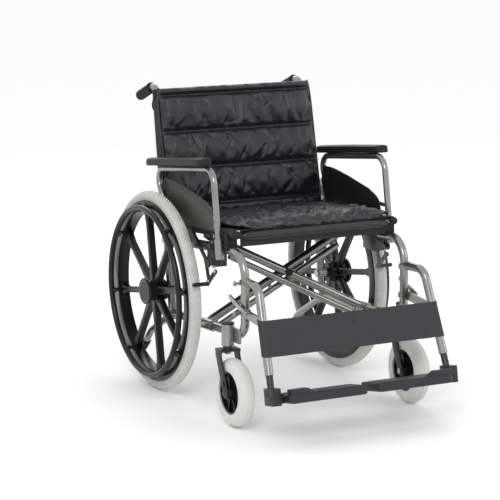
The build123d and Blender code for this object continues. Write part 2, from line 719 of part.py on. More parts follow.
with BuildPart() as pivot_bolt:
    face = brace_step + brace_r + fit
    add(bar([crossing - fold_axis * (face + 5), crossing + fold_axis * (face + 5)], pivot_r))
    for side in (-1, 1):
        add(bar([crossing + fold_axis * side * face, crossing + fold_axis * side * (face + 6)], pivot_cap_r))
write(pivot_bolt.part, "pivot_bolt")

# ---- Seat: sling wrapped on the two seat tubes with a front valance, and the cushion on it ----
wrap_in = seat_tube_r + gap
wrap_out = wrap_in + sling_t
sling_front, sling_rear = 446.0, 16.0
with BuildPart() as seat_sling:
    for side in (-1, 1):
        add(rail_bar(side * seat_x, sling_front, sling_rear, seat_rise, wrap_out))
    with BuildSketch(on_rail(0, (sling_front + sling_rear) / 2, seat_rise + wrap_in)):
        Rectangle(2 * seat_x, (sling_front - sling_rear) / math.cos(seat_tilt))
    extrude(amount=sling_t)
    with BuildSketch(Plane(origin=at(0, sling_front - 8, valance_low))):
        Rectangle(2 * (seat_x - wrap_out - 6), sling_t)
    extrude(amount=seat_z(sling_front) - valance_low + wrap_in + 1)
    for side in (-1, 1):
        bore = rail_bar(side * seat_x, sling_front + 20, sling_rear - 20, seat_rise, wrap_in)
        add(bore, mode=Mode.SUBTRACT)
    for side, fore in ((1, brace_step), (-1, -brace_step)):
        way = bar([arm_point(side, half_arm - 40, 0, fore), arm_point(side, half_arm + 12, 0, fore)], brace_r + gap)
        add(way, mode=Mode.SUBTRACT)
write(seat_sling.part, "seat_sling")

with BuildPart() as seat_cushion:
    with BuildSketch(on_rail(0, (cushion_front + cushion_rear) / 2, seat_rise + wrap_out + gap)):
        RectangleRounded(2 * cushion_half, (cushion_front - cushion_rear) / math.cos(seat_tilt), 20)
    extrude(amount=cushion_t)
    fillet(seat_cushion.faces().sort_by(Axis(tuple(crossing), tuple(rail_up)))[-1].edges(), 9)
write(seat_cushion.part, "seat_cushion")

# ---- Back cushion, in front of the two canes ----
cane_from = Vector(*on_upright(upright_top[1] + 30))
cane_lean = math.atan2(-cane_top[0] - (cane_from.Y - axle_y), cane_top[1] - cane_from.Z)
back_up = Vector(0, math.sin(cane_lean), math.cos(cane_lean))
back_fore = Vector(0, -math.cos(cane_lean), math.sin(cane_lean))
back_foot = Vector(0, cane_from.Y, cane_from.Z) + back_up * ((back_low - cane_from.Z) / back_up.Z)
with BuildPart() as back_cushion:
    base = back_foot + back_fore * (cane_r + 4)
    with BuildSketch(Plane(origin=tuple(base), x_dir=(1, 0, 0), z_dir=tuple(back_fore))):
        with Locations((0, (back_high - back_low) / 2 / back_up.Z)):
            RectangleRounded(2 * back_half, (back_high - back_low) / back_up.Z, 16)
    extrude(amount=back_t)
    fillet(back_cushion.faces().sort_by(Axis.Y)[0].edges(), 12)
write(back_cushion.part, "back_cushion")
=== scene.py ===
import json
import math
import random

import bmesh
import bpy
import numpy as np
from mathutils import Matrix, Vector, noise


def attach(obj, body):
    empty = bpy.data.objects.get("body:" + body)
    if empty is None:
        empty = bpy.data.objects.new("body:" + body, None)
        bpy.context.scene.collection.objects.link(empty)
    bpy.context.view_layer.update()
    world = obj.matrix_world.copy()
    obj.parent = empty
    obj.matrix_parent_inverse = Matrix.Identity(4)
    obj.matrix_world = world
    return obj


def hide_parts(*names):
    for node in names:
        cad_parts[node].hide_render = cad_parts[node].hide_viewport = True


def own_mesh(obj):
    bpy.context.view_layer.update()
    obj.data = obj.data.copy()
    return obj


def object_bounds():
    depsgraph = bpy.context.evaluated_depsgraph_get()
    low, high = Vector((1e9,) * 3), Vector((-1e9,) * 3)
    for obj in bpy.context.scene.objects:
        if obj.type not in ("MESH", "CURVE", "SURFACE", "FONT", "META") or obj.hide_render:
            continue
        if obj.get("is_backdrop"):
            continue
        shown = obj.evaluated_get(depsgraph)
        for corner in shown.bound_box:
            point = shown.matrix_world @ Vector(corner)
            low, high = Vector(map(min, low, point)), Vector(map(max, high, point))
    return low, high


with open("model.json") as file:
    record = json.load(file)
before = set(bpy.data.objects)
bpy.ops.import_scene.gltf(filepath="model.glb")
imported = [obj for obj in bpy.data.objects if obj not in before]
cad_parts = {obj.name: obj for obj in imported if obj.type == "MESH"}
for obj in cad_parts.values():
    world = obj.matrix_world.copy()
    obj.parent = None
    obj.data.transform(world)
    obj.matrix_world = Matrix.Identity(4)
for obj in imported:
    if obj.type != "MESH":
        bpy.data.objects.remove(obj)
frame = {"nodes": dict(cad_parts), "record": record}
cad_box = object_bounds()

# ---- Camera, light and floor -------------------------------------------------------------------
# A long lens looks down a little at the chair's front right corner. The light is a white studio:
# a bright sky, one large soft key in front, a fill on the other side and a strip from behind.
scene = bpy.context.scene
lens = bpy.data.cameras.new("camera")
lens.lens = 145.4
lens.sensor_width = 36.0
lens.clip_end = 160.0
camera = bpy.data.objects.new("camera", lens)
scene.collection.objects.link(camera)
camera.location = (-2.765, -5.267, 1.615)
aim = Vector((-0.2305, -0.2309, 0.506)) - camera.location
camera.rotation_euler = aim.to_track_quat("-Z", "Y").to_euler()
scene.camera = camera
scene.view_settings.view_transform = "Standard"

world = bpy.data.worlds.new("studio")
world.use_nodes = True
world.node_tree.nodes["Background"].inputs["Color"].default_value = (1, 1, 1, 1)
world.node_tree.nodes["Background"].inputs["Strength"].default_value = 1.03
scene.world = world

for lamp_name, spot, size, power in (
    ("key", (-2.6, -3.6, 3.4), 1.6, 70),
    ("fill", (3.4, -2.6, 2.0), 1.6, 18),
    ("rim", (0.8, 3.4, 2.8), 2.0, 30),
):
    lamp = bpy.data.lights.new(lamp_name, "AREA")
    lamp.size = size
    lamp.energy = power
    holder = bpy.data.objects.new(lamp_name, lamp)
    holder.location = spot
    holder.rotation_euler = (Vector((0, 0, 0.45)) - Vector(spot)).to_track_quat("-Z", "Y").to_euler()
    scene.collection.objects.link(holder)


def new_material(name):
    """A material with its shader, ready for its nodes."""
    material = bpy.data.materials.new(name)
    material.use_nodes = True
    return material, material.node_tree, material.node_tree.nodes["Principled BSDF"]


floor_finish, tree, shader = new_material("studio_floor")
shader.inputs["Base Color"].default_value = (0.93, 0.93, 0.93, 1)
shader.inputs["Roughness"].default_value = 0.9
floor_mesh = bpy.data.meshes.new("floor")
floor_mesh.from_pydata([(-70, -70, 0), (70, -70, 0), (70, 70, 0), (-70, 70, 0)], [], [(0, 1, 2, 3)])
floor_mesh.materials.append(floor_finish)
floor = bpy.data.objects.new("floor", floor_mesh)
floor.location = (0, 0, -0.0005)
scene.collection.objects.link(floor)
floor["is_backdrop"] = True


# ---- Frame tubes, brace arms, canes and leg rest hangers ----------------------------------------
# Bent and welded steel tube with a silver-grey metallic paint under a thin clear coat. Fine flakes
# show in the paint, and handling has dulled it unevenly.
def coated(name, colour, rough, metal=0.0, vary=0.12, grain=600.0, bump=0.02, coat=0.0, patch=14.0, shine=0.5):
    """A painted, plated or moulded surface: patchy tone and gloss, and a fine grain under it."""
    material, tree, shader = new_material(name)
    link = tree.links.new
    place = tree.nodes.new("ShaderNodeTexCoord")
    patches = tree.nodes.new("ShaderNodeTexNoise")
    patches.inputs["Scale"].default_value = patch
    patches.inputs["Detail"].default_value = 5.0
    link(place.outputs["Object"], patches.inputs["Vector"])
    tone = tree.nodes.new("ShaderNodeValToRGB")
    tone.color_ramp.elements[0].position = 0.3
    tone.color_ramp.elements[1].position = 0.7
    tone.color_ramp.elements[0].color = tuple(c * (1 - vary) for c in colour) + (1,)
    tone.color_ramp.elements[1].color = tuple(min(1, c * (1 + vary)) for c in colour) + (1,)
    link(patches.outputs["Fac"], tone.inputs["Fac"])
    link(tone.outputs["Color"], shader.inputs["Base Color"])
    gloss = tree.nodes.new("ShaderNodeMapRange")
    gloss.inputs["To Min"].default_value = rough * 0.8
    gloss.inputs["To Max"].default_value = min(1.0, rough * 1.25)
    link(patches.outputs["Fac"], gloss.inputs["Value"])
    link(gloss.outputs["Result"], shader.inputs["Roughness"])
    fine = tree.nodes.new("ShaderNodeTexNoise")
    fine.inputs["Scale"].default_value = grain
    fine.inputs["Detail"].default_value = 3.0
    link(place.outputs["Object"], fine.inputs["Vector"])
    relief = tree.nodes.new("ShaderNodeBump")
    relief.inputs["Strength"].default_value = 1.0
    relief.inputs["Distance"].default_value = bump / 1000
    link(fine.outputs["Fac"], relief.inputs["Height"])
    link(relief.outputs["Normal"], shader.inputs["Normal"])
    shader.inputs["Metallic"].default_value = metal
    shader.inputs["Specular IOR Level"].default_value = shine
    shader.inputs["Coat Weight"].default_value = coat
    shader.inputs["Coat Roughness"].default_value = 0.12
    return material


nodes = frame["nodes"]
SIDES = ("right", "left")


def dress(material, *names):
    """Gives CAD nodes their finish."""
    for name in names:
        for holder in nodes[name].material_slots:
            holder.material = material


def dress_pair(material, *names):
    """Gives the same finish to the right and left CAD nodes."""
    for name in names:
        for side in SIDES:
            dress(material, f"{side}_{name}")


silver = coated("silver_paint", (0.27, 0.267, 0.26), 0.24, metal=0.9, vary=0.10, grain=1500, bump=0.03, coat=0.25)
dress_pair(silver, "side_frame", "push_cane", "armrest_frame", "hanger")
dress(silver, "brace_arm_front", "brace_arm_rear")

black_steel = coated(
    "black_powder_coat", (0.008, 0.008, 0.009), 0.32, vary=0.2, grain=900, bump=0.05, coat=0.2, shine=0.35
)
dress_pair(black_steel, "leg_tube", "brake_lever", "brake_shoe")

zinc = coated("zinc_plate", (0.42, 0.42, 0.43), 0.32, metal=1.0, vary=0.12, grain=1100, bump=0.02)
dress_pair(zinc, "rear_axle", "wheel_bearings", "caster_axle", "hanger_latch")


def piece_from(name, points, faces):
    """A mesh object from points and faces, with its faces turned outwards and its edges kept crisp."""
    mesh = bpy.data.meshes.new(name)
    mesh.from_pydata([tuple(p) for p in points], [], faces)
    made = bpy.data.objects.new(name, mesh)
    scene.collection.objects.link(made)
    tidy_mesh(made)
    return made


def tidy_mesh(made, crisp=35.0):
    """Merges doubles, turns faces outwards and shades smooth up to an angle."""
    shape = bmesh.new()
    shape.from_mesh(made.data)
    bmesh.ops.remove_doubles(shape, verts=shape.verts, dist=2e-6)
    bmesh.ops.recalc_face_normals(shape, faces=shape.faces)
    if all(edge.is_manifold for edge in shape.edges) and shape.calc_volume(signed=True) < 0:
        bmesh.ops.reverse_faces(shape, faces=shape.faces)
    for edge in shape.edges:
        edge.smooth = len(edge.link_faces) == 2 and edge.calc_face_angle(0.0) < math.radians(crisp)
    for face in shape.faces:
        face.smooth = True
    shape.to_mesh(made.data)
    shape.free()


def baked(made):
    """The object with its modifiers made real."""
    view = bpy.context.evaluated_depsgraph_get()
    mesh = bpy.data.meshes.new_from_object(made.evaluated_get(view))
    if made.type == "MESH":
        made.modifiers.clear()
        made.data = mesh
        return made
    solid = bpy.data.objects.new(made.name + "_solid", mesh)
    scene.collection.objects.link(solid)
    bpy.data.objects.remove(made)
    return solid


node_slot = {part["node"]: part["material_slot"] for part in frame["record"]["subparts"]}


def fit(made, name, body, material, stands_for=(), slot=None):
    """Names a finished piece, gives it its material and fixes it to its body."""
    made.name = name
    made.data.materials.clear()
    made.data.materials.append(material)
    for face in made.data.polygons:
        face.material_index = 0
    if stands_for:
        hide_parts(*stands_for)
        slot or node_slot[stands_for[0]]
    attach(made, body)


def fit_pair(made, name, body, material, stands_for=(), slot=None):
    """Fits a right-hand piece, and its mirror image on the left."""
    other_mesh = made.data.copy()
    other_mesh.transform(Matrix.Scale(-1, 4, (1, 0, 0)))
    other_mesh.flip_normals()
    other = bpy.data.objects.new(name, other_mesh)
    scene.collection.objects.link(other)
    for side, half in zip(SIDES, (made, other)):
        stood = [f"{side}_{n}" for n in stands_for]
        fit(half, f"{side}_{name}", f"{side}_{body}", material, stood, slot)
        yield half


def hands(*args, **named):
    """Both halves of fit_pair at once."""
    return list(fit_pair(*args, **named))


def rod(name, points, radius, smooth=True, flat=1.0):
    """A round bar through points, rounded where it turns; flat is not used."""
    curve = bpy.data.curves.new(name, "CURVE")
    curve.dimensions = "3D"
    curve.bevel_depth = radius
    curve.bevel_resolution = 5
    curve.use_fill_caps = True
    run = curve.splines.new("NURBS" if smooth else "POLY")
    run.points.add(len(points) - 1)
    for spot, point in zip(run.points, points):
        spot.co = (*point, 1)
    if smooth:
        run.order_u = 3
        run.use_endpoint_u = True
        run.resolution_u = 12
    holder = bpy.data.objects.new(name, curve)
    scene.collection.objects.link(holder)
    solid = baked(holder)
    tidy_mesh(solid)
    return solid


def turned(name, profile, place, count=48):
    """A turned shape: (radius, height) points spun about the place's Z, closed at both ends."""
    points, faces = [], []
    rows = len(profile)
    for k in range(count):
        turn = 2 * math.pi * k / count
        for radius, height in profile:
            points.append(place @ Vector((radius * math.cos(turn), radius * math.sin(turn), height)))
    for k in range(count):
        a, b = k * rows, (k + 1) % count * rows
        for j in range(rows - 1):
            faces.append((a + j, b + j, b + j + 1, a + j + 1))
    closed = (Vector(profile[0]) - Vector(profile[-1])).length < 1e-9
    if not closed:
        faces.append([k * rows for k in range(count)])
        faces.append([k * rows + rows - 1 for k in range(count)])
    return piece_from(name, points, faces)


def facing(spot, direction):
    """A place at a point whose Z runs along a direction."""
    turn = Vector(direction).to_track_quat("Z", "Y").to_matrix().to_4x4()
    return Matrix.Translation(spot) @ turn


def eased(node, width, segments=2):
    """A copy of a CAD node's shape with its sharp edges rounded over."""
    made = bpy.data.objects.new(node + "_eased", nodes[node].data.copy())
    scene.collection.objects.link(made)
    shape = bmesh.new()
    shape.from_mesh(made.data)
    bmesh.ops.remove_doubles(shape, verts=shape.verts, dist=1e-5)
    bmesh.ops.dissolve_limit(shape, angle_limit=math.radians(1.5), verts=shape.verts, edges=shape.edges)
    shape.to_mesh(made.data)
    shape.free()
    bevel = made.modifiers.new("ease", "BEVEL")
    bevel.width = width
    bevel.segments = segments
    bevel.limit_method = "ANGLE"
    bevel.angle_limit = math.radians(38)
    bevel.harden_normals = False
    baked(made)
    tidy_mesh(made, 30.0)
    return made


# ---- Bolts, nuts and rivets ---------------------------------------------------------------------
# Zinc-plated hexagon bolts and black domed rivets hold the brackets, saddles and brakes. Each body's
# fastenings are one scatter of heads on marked points.
axle_y = 0.245


def at(x, ahead, z):
    """A point in metres from millimetres across, ahead of the rear axle and up."""
    return Vector((x / 1000, axle_y - ahead / 1000, z / 1000))


def stud_tree():
    """Heads or blocks set on points that carry an outward and an along direction."""
    tree = bpy.data.node_groups.new("set_studs", "GeometryNodeTree")
    face = tree.interface
    face.new_socket("Geometry", in_out="INPUT", socket_type="NodeSocketGeometry")
    for label, kind in (("Sides", "Int"), ("Foot", "Float"), ("Top", "Float"), ("Height", "Float")):
        face.new_socket(label, in_out="INPUT", socket_type=f"NodeSocket{kind}")
    face.new_socket("Stretch", in_out="INPUT", socket_type="NodeSocketVector")
    face.new_socket("Finish", in_out="INPUT", socket_type="NodeSocketMaterial")
    face.new_socket("Geometry", in_out="OUTPUT", socket_type="NodeSocketGeometry")
    link = tree.links.new
    given = tree.nodes.new("NodeGroupInput")
    result = tree.nodes.new("NodeGroupOutput")
    block = tree.nodes.new("GeometryNodeMeshCone")
    link(given.outputs["Sides"], block.inputs["Vertices"])
    link(given.outputs["Foot"], block.inputs["Radius Bottom"])
    link(given.outputs["Top"], block.inputs["Radius Top"])
    link(given.outputs["Height"], block.inputs["Depth"])
    turns = []
    for label, axis in (("out", "Z"), ("along", "X")):
        marked = tree.nodes.new("GeometryNodeInputNamedAttribute")
        marked.data_type = "FLOAT_VECTOR"
        marked.inputs["Name"].default_value = label
        turn = tree.nodes.new("FunctionNodeAlignRotationToVector")
        turn.axis = axis
        turn.pivot_axis = "AUTO" if axis == "Z" else "Z"
        link(marked.outputs["Attribute"], turn.inputs["Vector"])
        turns.append(turn)
    link(turns[0].outputs["Rotation"], turns[1].inputs["Rotation"])
    scatter = tree.nodes.new("GeometryNodeInstanceOnPoints")
    link(given.outputs["Geometry"], scatter.inputs["Points"])
    link(block.outputs["Mesh"], scatter.inputs["Instance"])
    link(turns[1].outputs["Rotation"], scatter.inputs["Rotation"])
    link(given.outputs["Stretch"], scatter.inputs["Scale"])
    real = tree.nodes.new("GeometryNodeRealizeInstances")
    link(scatter.outputs["Instances"], real.inputs["Geometry"])
    paint = tree.nodes.new("GeometryNodeSetMaterial")
    link(real.outputs["Geometry"], paint.inputs["Geometry"])
    link(given.outputs["Finish"], paint.inputs["Material"])
    link(paint.outputs["Geometry"], result.inputs["Geometry"])
    return tree


set_studs = stud_tree()


def studs(name, marks, sides, foot, top, height, material, stretch=(1, 1, 1)):
    """One mesh of blocks at marks of (point, outward, along)."""
    mesh = bpy.data.meshes.new(name)
    mesh.from_pydata([tuple(m[0]) for m in marks], [], [])
    for k, label in ((1, "out"), (2, "along")):
        mark = mesh.attributes.new(label, "FLOAT_VECTOR", "POINT")
        mark.data.foreach_set("vector", [c for m in marks for c in m[k]])
    made = bpy.data.objects.new(name, mesh)
    scene.collection.objects.link(made)
    maker = made.modifiers.new("studs", "NODES")
    maker.node_group = set_studs
    values = {"Sides": sides, "Foot": foot, "Top": top, "Height": height, "Stretch": stretch, "Finish": material}
    for item in set_studs.interface.items_tree:
        if item.in_out == "INPUT" and item.name in values:
            maker[item.identifier] = values[item.name]
    baked(made)
    for label in ("out", "along"):
        stale = made.data.attributes.get(label)
        if stale:
            made.data.attributes.remove(stale)
    tidy_mesh(made)
    return made


OUT, UP = Vector((-1, 0, 0)), Vector((0, 0, 1))
frame_bolts = [
    (at(-284.2, 333, 448), OUT, UP),
    (at(-284.2, 352, 440), OUT, UP),
    (at(-278.2, 345, 528), OUT, UP),
    (at(-278.2, 330, 508), OUT, UP),
    (at(-278.2, 70, 495), OUT, UP),
    (at(-278.2, 100, 497), OUT, UP),
]
heads = studs("bolt_heads", frame_bolts, 6, 0.0062, 0.0056, 0.0036, zinc)
hands(heads, "frame_bolts", "frame", zinc, slot="bare_steel")
nuts = studs("fork_nuts", [(at(-290, 453, 213), -UP, OUT)], 6, 0.0105, 0.0105, 0.008, zinc)
hands(nuts, "fork_nut", "fork", zinc, slot="bare_steel")

# ---- Rear wheels --------------------------------------------------------------------------------
# One-piece moulded wheels in glossy black nylon: eight ribbed spokes that widen into the rim. The
# handrim is a black coated hoop on eight pegs, and the hub has a two-step cap.
gloss_black = coated(
    "glossy_black_nylon", (0.006, 0.006, 0.0065), 0.28, vary=0.25, grain=500, bump=0.05, coat=0.08, shine=0.30
)
cap_grey = coated("hub_cap_grey", (0.016, 0.016, 0.018), 0.42, vary=0.2, grain=700, bump=0.05, shine=0.3)
hands(eased("right_rear_wheel", 0.0028, 3), "wheel_casting", "wheel", gloss_black, ["rear_wheel"])
dress_pair(gloss_black, "handrim")
dress_pair(cap_grey, "hub_cap")

WHEEL = Matrix.Translation(at(-314.5, 0, 305)) @ Matrix(
    ((0, 0, -1, 0), (-1, 0, 0, 0), (0, 1, 0, 0), (0, 0, 0, 1))
)
SPOKES, SPOKE_TURN = 8, math.radians(10)


def spoke_place(k):
    """The wheel's place turned to one spoke, which then runs along X."""
    return WHEEL @ Matrix.Rotation(SPOKE_TURN + k * 2 * math.pi / SPOKES, 4, "Z")


web_points, web_faces = [], []
for k in range(SPOKES):
    for face_z in (-1, 1):
        place = spoke_place(k)
        start = len(web_points)
        ridge = ((0.030, 0.013), (0.120, 0.0075), (0.205, 0.0075), (0.247, 0.021))
        for reach, half in ridge:
            for across_spoke, lift in ((-half, 0.0), (-half * 0.7, 0.0028), (half * 0.7, 0.0028), (half, 0.0)):
                web_points.append(place @ Vector((reach, across_spoke, face_z * (0.0083 + lift))))
        for j in range(3):
            for i in range(3):
                a = start + j * 4 + i
                web_faces.append((a, a + 1, a + 5, a + 4))
        web_faces.append((start, start + 4, start + 8, start + 12, start + 15, start + 11, start + 7, start + 3))
        web_faces.append((start, start + 1, start + 2, start + 3))
        web_faces.append((start + 12, start + 13, start + 14, start + 15))
webs = piece_from("spoke_webs", web_points, web_faces)
hands(webs, "spoke_webs", "wheel", gloss_black, slot="wheel_plastic")

cap_ring = turned(
    "hub_ring",
    [(0.024, 0.0), (0.0385, 0.0), (0.0400, 0.0012), (0.0385, 0.0030), (0.0250, 0.0034), (0.024, 0.0)],
    WHEEL @ Matrix.Translation((0, 0, 0.0352)),
    64,
)
hands(cap_ring, "hub_ring", "wheel", gloss_black, slot="wheel_plastic")
clips = []
for k in range(SPOKES):
    place = spoke_place(k)
    turned_by = place.to_3x3()
    clips.append((place @ Vector((0.2554, 0, 0.0275)), turned_by @ Vector((0, 0, 1)), turned_by @ Vector((1, 0, 0))))
pads = studs("handrim_pads", clips, 12, 0.0105, 0.0070, 0.012, gloss_black, (1.5, 0.9, 1))
hands(pads, "handrim_feet", "wheel", gloss_black, slot="wheel_plastic")

# ---- Rear tyres ---------------------------------------------------------------------------------
# Solid polyurethane in a warm light grey. Rows of small diamond blocks cover the crown and shoulders,
# and the walls are smooth down to the rim. The carcass under the blocks, walls included, is a darker
# grey: painted shade, which shows as a dark lattice in the grooves between the blocks.
tyre_grey = coated("grey_polyurethane", (0.60, 0.59, 0.57), 0.62, vary=0.07, grain=900, bump=0.08, patch=22)
TYRE_R, SECTION = 0.286, 0.0175
profile = []
for k in range(33):
    turn = math.radians(-137 + 274 * k / 32)
    swell = SECTION + (0.0009 if abs(math.degrees(turn)) > 68 else 0.0)
    profile.append((TYRE_R + swell * math.cos(turn), swell * math.sin(turn)))
profile.append(profile[0])
# A darker copy of the tyre's grey for the carcass: painted shade in the grooves between the tread blocks.
tyre_shade_grey = coated("grey_tyre_painted_shade", (0.43, 0.425, 0.41), 0.62, vary=0.10, grain=700, bump=0.08, patch=22)
carcass = turned("tyre_carcass", profile, WHEEL, 160)
hands(carcass, "tyre_carcass", "wheel", tyre_shade_grey, ["rear_tyre"])

blocks = []
for row in range(-4, 5):
    lean = math.radians(row * 14.5)
    count = 132
    for k in range(count):
        turn = 2 * math.pi * (k + (0.5 if row % 2 else 0)) / count
        out = Vector((math.cos(lean) * math.cos(turn), math.cos(lean) * math.sin(turn), math.sin(lean)))
        hub = Vector((TYRE_R * math.cos(turn), TYRE_R * math.sin(turn), 0))
        run = Vector((-math.sin(turn), math.cos(turn), 0))
        turning = WHEEL.to_3x3()
        blocks.append((WHEEL @ (hub + out * (SECTION - 0.0004)), turning @ out, turning @ run))
tread = studs("tread_blocks", blocks, 4, 0.0047, 0.0028, 0.0017, tyre_grey, (1.35, 0.62, 1))
hands(tread, "tyre_tread", "wheel", tyre_grey, slot="tyre_grey")

# ---- Casters ------------------------------------------------------------------------------------
# A dark satin steel fork on a vertical stem, a black ribbed hub, and a pale solid tyre with fine
# grooves moulded round it. The wheel turns on a plated bolt through the blades.
fork_grey = coated("fork_satin", (0.030, 0.031, 0.031), 0.40, metal=0.5, vary=0.15, grain=900, bump=0.04)
tyre_pale = coated("pale_polyurethane", (0.60, 0.59, 0.575), 0.50, vary=0.05, grain=700, bump=0.05, patch=25)
hands(eased("right_caster_fork", 0.0016), "fork_forging", "fork", fork_grey, ["caster_fork"])
CASTER = Matrix.Translation(at(-290, 499, 100)) @ WHEEL.to_3x3().to_4x4()
groove = []
for k in range(121):
    turn = math.radians(-102 + 204 * k / 120)
    across, out = 0.0235 * math.sin(turn), 0.0255 * math.cos(turn)
    sink = 0.0
    for line, wide, deep in ((-0.0215, 0.0008, 0.0006), (-0.0175, 0.0009, 0.0009), (-0.007, 0.0011, 0.0012),
                             (0.007, 0.0011, 0.0012), (0.0175, 0.0009, 0.0009)):
        sink = max(sink, deep * max(0.0, 1 - abs(across - line) / wide) if out > 0 else 0.0)
    groove.append((0.0743 + out - sink, across))
groove += [(0.0622, 0.0215), (0.0622, -0.0215), groove[0]]
caster_tyre = turned("caster_tyre", groove, CASTER, 120)
hands(caster_tyre, "caster_tyre_moulding", "caster", tyre_pale, ["caster_tyre"])
hands(eased("right_caster_wheel", 0.0015), "caster_hub", "caster", gloss_black, ["caster_wheel"])
rib_points, rib_faces = [], []
for k in range(7):
    for side_z in (-1, 1):
        place = CASTER @ Matrix.Rotation(2 * math.pi * k / 7, 4, "Z")
        start = len(rib_points)
        for reach in (0.015, 0.0575):
            for half, z in ((-0.002, 0.007), (-0.0014, 0.0155), (0.0014, 0.0155), (0.002, 0.007)):
                rib_points.append(place @ Vector((reach, half, side_z * z)))
        a = start
        rib_faces += [(a, a + 1, a + 2, a + 3), (a + 4, a + 5, a + 6, a + 7), (a, a + 1, a + 5, a + 4)]
        rib_faces += [(a + 1, a + 2, a + 6, a + 5), (a + 2, a + 3, a + 7, a + 6), (a + 3, a, a + 4, a + 7)]
hands(piece_from("hub_ribs", rib_points, rib_faces), "caster_hub_ribs", "caster", gloss_black, slot="wheel_plastic")
satin_black = coated("satin_black_plastic", (0.009, 0.009, 0.010), 0.46, vary=0.18, grain=420, bump=0.12, shine=0.25)
dress_pair(satin_black, "caster_cap")
blade_nuts = [(at(-322.1, 499, 100), OUT, UP), (at(-322.1, 490, 124), OUT, UP)]
hands(studs("blade_nuts", blade_nuts, 6, 0.0085, 0.0078, 0.005, black_steel), "fork_bolts", "fork", black_steel,
      slot="black_metal")

# ---- Seat saddles and brake ---------------------------------------------------------------------
# Moulded black nylon blocks carry the seat tubes. Under each top rail sits a dark grey steel clamp
# with the brake: a black lever with a ribbed grip, and a link with a rod that presses the tyre.
brake_grey = coated("brake_grey", (0.045, 0.045, 0.047), 0.38, metal=0.4, vary=0.15, grain=800, bump=0.04)
hands(eased("right_seat_saddles", 0.0022), "saddle_blocks", "frame", satin_black, ["seat_saddles"])
hands(eased("right_brake_bracket", 0.0016), "brake_clamp", "frame", brake_grey, ["brake_bracket"])
lever_foot, lever_tip = at(-306, 345, 449), at(-306, 237, 531)
lever_run = (lever_tip - lever_foot).normalized()
grip = []
for k in range(13):
    z = 0.058 * k / 12
    grip += [(0.0062, z), (0.0080, z + 0.0008), (0.0080, z + 0.0030), (0.0062, z + 0.0038)]
grip = [(0.0, 0.0)] + grip + [(0.0050, 0.064), (0.0, 0.0655)]
grip_place = facing(lever_tip - lever_run * 0.060, lever_run)
rubber_black = coated("black_rubber", (0.009, 0.009, 0.010), 0.62, vary=0.2, grain=500, bump=0.12, shine=0.25)
hands(turned("lever_grip", grip, grip_place, 28), "brake_grip", "lever", rubber_black, slot="grip_rubber")
link_pins = [(at(-289.6, 322, 392), OUT, UP), (at(-289.6, 366, 428), OUT, UP), (at(-289.6, 300, 449), OUT, UP)]
hands(studs("link_pins", link_pins, 16, 0.0048, 0.0036, 0.0026, zinc), "brake_link_pins", "shoe", zinc,
      slot="bare_steel")

# ---- Armrests -----------------------------------------------------------------------------------
# A firm pad in black vinyl, rounded all over and sewn round its lower edge, screwed to the bent
# tube. Below it hangs a dark grey moulded panel with a raised rolled border.
vinyl = coated("pad_vinyl", (0.009, 0.009, 0.010), 0.46, vary=0.15, grain=260, bump=0.30, patch=30, shine=0.25)
panel_grey = coated("panel_plastic", (0.040, 0.040, 0.038), 0.55, vary=0.08, grain=330, bump=0.16)
pad_lean = math.atan2(53.0, 408.6)
pad_mid = 326 - 199 * math.cos(pad_lean)
pad_foot = at(-294.5, pad_mid, 671 + 53 * (pad_mid + 62) / 408.6 + 9.8)
PAD = facing(pad_foot, (0, math.sin(pad_lean), math.cos(pad_lean)))
PAD = Matrix.Translation(PAD.translation) @ Matrix.Rotation(-pad_lean, 4, "X")
pad_rows = ((0.0, 0.0215, 0.012), (0.0004, 0.0228, 0.004), (0.006, 0.0232, 0.0), (0.015, 0.0230, 0.0003),
            (0.0195, 0.0212, 0.0022), (0.0222, 0.0170, 0.0070), (0.0232, 0.0090, 0.0160))
pad_points, pad_faces, loop_count = [], [], 96
for lift, half, inset in pad_rows:
    for k in range(loop_count):
        turn = 2 * math.pi * k / loop_count
        px, py = math.cos(turn), math.sin(turn)
        reach = 0.199 - inset * 0.6
        sx = math.copysign(abs(px) ** 0.42, px) * half
        sy = math.copysign(abs(py) ** 0.16, py) * reach
        crown = 0.0012 * (1 - (sy / 0.2) ** 2)
        pad_points.append(PAD @ Vector((sx, sy, lift + crown)))
for j in range(len(pad_rows) - 1):
    for k in range(loop_count):
        a, b = j * loop_count + k, j * loop_count + (k + 1) % loop_count
        pad_faces.append((a, b, b + loop_count, a + loop_count))
pad_faces.append(list(range(loop_count)))
pad_faces.append([(len(pad_rows) - 1) * loop_count + k for k in range(loop_count)])
arm_pad = piece_from("arm_pad", pad_points, pad_faces)
for half in hands(arm_pad, "armrest_cushion", "armrest", vinyl, ["armrest_pad"]):
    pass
pad_welt = rod("pad_welt", [PAD @ Vector((math.copysign(abs(math.cos(t)) ** 0.42, math.cos(t)) * 0.0226,
                                          math.copysign(abs(math.sin(t)) ** 0.16, math.sin(t)) * 0.1975, 0.0035))
                            for t in [2 * math.pi * k / 96 for k in range(97)]], 0.0009)
hands(pad_welt, "armrest_welt", "armrest", satin_black, slot="pad_vinyl")

# The panel's faces that turn in towards the seat take the darker black: painted shade on its inner side.
for half in hands(eased("right_side_panel", 0.0008), "panel_moulding", "armrest", panel_grey, ["side_panel"]):
    half.data.materials.append(satin_black)
    for face in half.data.polygons:
        face.material_index = int(face.normal.x * face.center.x < -0.08)
edge = [(350, 544), (343, 588), (318, 606), (279, 617), (235, 622), (190, 630), (140, 640), (90, 648), (40, 652),
        (0, 650), (-13, 640), (-14, 610), (-2, 560), (4, 522)]
hands(rod("panel_roll", [at(-274.6, a - 3, z - 5) for a, z in edge], 0.0030), "panel_border", "armrest", panel_grey,
      slot="black_plastic")
inner_edge = [(332, 552), (327, 580), (308, 594), (272, 603), (232, 608), (188, 616), (140, 626), (92, 634), (42, 638),
              (8, 636), (2, 626), (4, 600), (14, 560), (18, 530)]
hands(rod("panel_step", [at(-274.3, a, z) for a, z in inner_edge], 0.0017), "panel_step", "armrest", panel_grey,
      slot="black_plastic")

